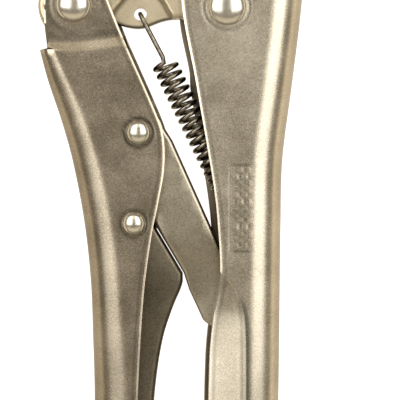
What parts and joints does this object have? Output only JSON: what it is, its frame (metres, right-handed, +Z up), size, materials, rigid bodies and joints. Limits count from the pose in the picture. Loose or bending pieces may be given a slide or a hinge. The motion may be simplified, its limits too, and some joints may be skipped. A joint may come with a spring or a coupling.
{
  "type": "locking pliers",
  "caption": "Locking pliers with pressed-channel handles, curved toothed jaws, toggle link, release lever, tension spring and knurled adjusting screw.",
  "frame": {"origin": "middle of the tool's outline, on the surface it lies on when it rests on its side", "axes": "+Y towards the jaw tips along the tool's length, +X from the movable handle to the fixed handle, +Z up along the rivets"},
  "size_m": [0.0724, 0.2473, 0.0186],
  "materials": {
    "pressed_nickel": "satin nickel plate on pressed sheet steel, finely speckled",
    "forged_nickel": "satin nickel plate on forged steel",
    "link_nickel": "satin nickel plate, slightly duller",
    "lever_nickel": "dull nickel plate on pressed steel",
    "polished_rivet": "bright polished rivet heads",
    "spring_wire": "dark oiled spring wire",
    "screw_steel": "bright plated turned steel"
  },
  "bodies": {
    "fixed_handle": {"fixed_handle": "pressed_nickel", "fixed_jaw": "forged_nickel", "jaw_pivot_rivet": "polished_rivet", "fixed_jaw_rivet_front": "polished_rivet", "fixed_jaw_rivet_rear": "polished_rivet"},
    "movable_jaw": {"movable_jaw": "forged_nickel", "tension_spring": "spring_wire"},
    "movable_handle": {"movable_handle": "pressed_nickel", "handle_pivot_rivet": "polished_rivet", "link_rivet": "polished_rivet", "release_lever_rivet": "polished_rivet"},
    "toggle_link": {"toggle_link": "link_nickel"},
    "release_lever": {"release_lever": "lever_nickel"},
    "screw_nose": {"screw_nose": "screw_steel"},
    "adjusting_screw": {"adjusting_screw": "screw_steel"}
  },
  "joints": [
    {"name": "jaw_pivot", "type": "hinge", "parent": "fixed_handle", "child": "movable_jaw", "pos_m": [0.0152, 0.0664, 0.0093], "axis": [0, 0, 1], "range_deg": [0, 18.1], "deforming": ["tension_spring"]},
    {"name": "handle_pivot", "type": "hinge", "parent": "movable_jaw", "child": "movable_handle", "pos_m": [-0.0264, 0.0671, 0.0093], "axis": [0, 0, -1], "range_deg": [0, 54]},
    {"name": "link_pivot", "type": "hinge", "parent": "movable_handle", "child": "toggle_link", "pos_m": [-0.0088, 0.0324, 0.0093], "axis": [0, 0, 1], "range_deg": [0, 62]},
    {"name": "release_lever_pivot", "type": "hinge", "parent": "movable_handle", "child": "release_lever", "pos_m": [-0.01005, 0.0078, 0.0093], "axis": [0, 0, 1], "range_deg": [0, 11]},
    {"name": "screw_travel", "type": "slide", "parent": "fixed_handle", "child": "screw_nose", "axis": [0, -1, 0], "range_m": [0, 0.016]},
    {"name": "knob_turn", "type": "hinge", "parent": "screw_nose", "child": "adjusting_screw", "pos_m": [0.0207, -0.0406, 0.0093], "axis": [0, -1, 0], "range_deg": [0, 2881]}
  ],
  "couplings": [
    {"joint": "jaw_pivot", "follows": "handle_pivot", "ratio": 0.3333},
    {"joint": "link_pivot", "follows": "handle_pivot", "ratio": 1.1467},
    {"joint": "release_lever_pivot", "follows": "handle_pivot", "ratio": 0.2},
    {"joint": "knob_turn", "follows": "screw_travel", "rad_per_m": 3141.6}
  ]
}
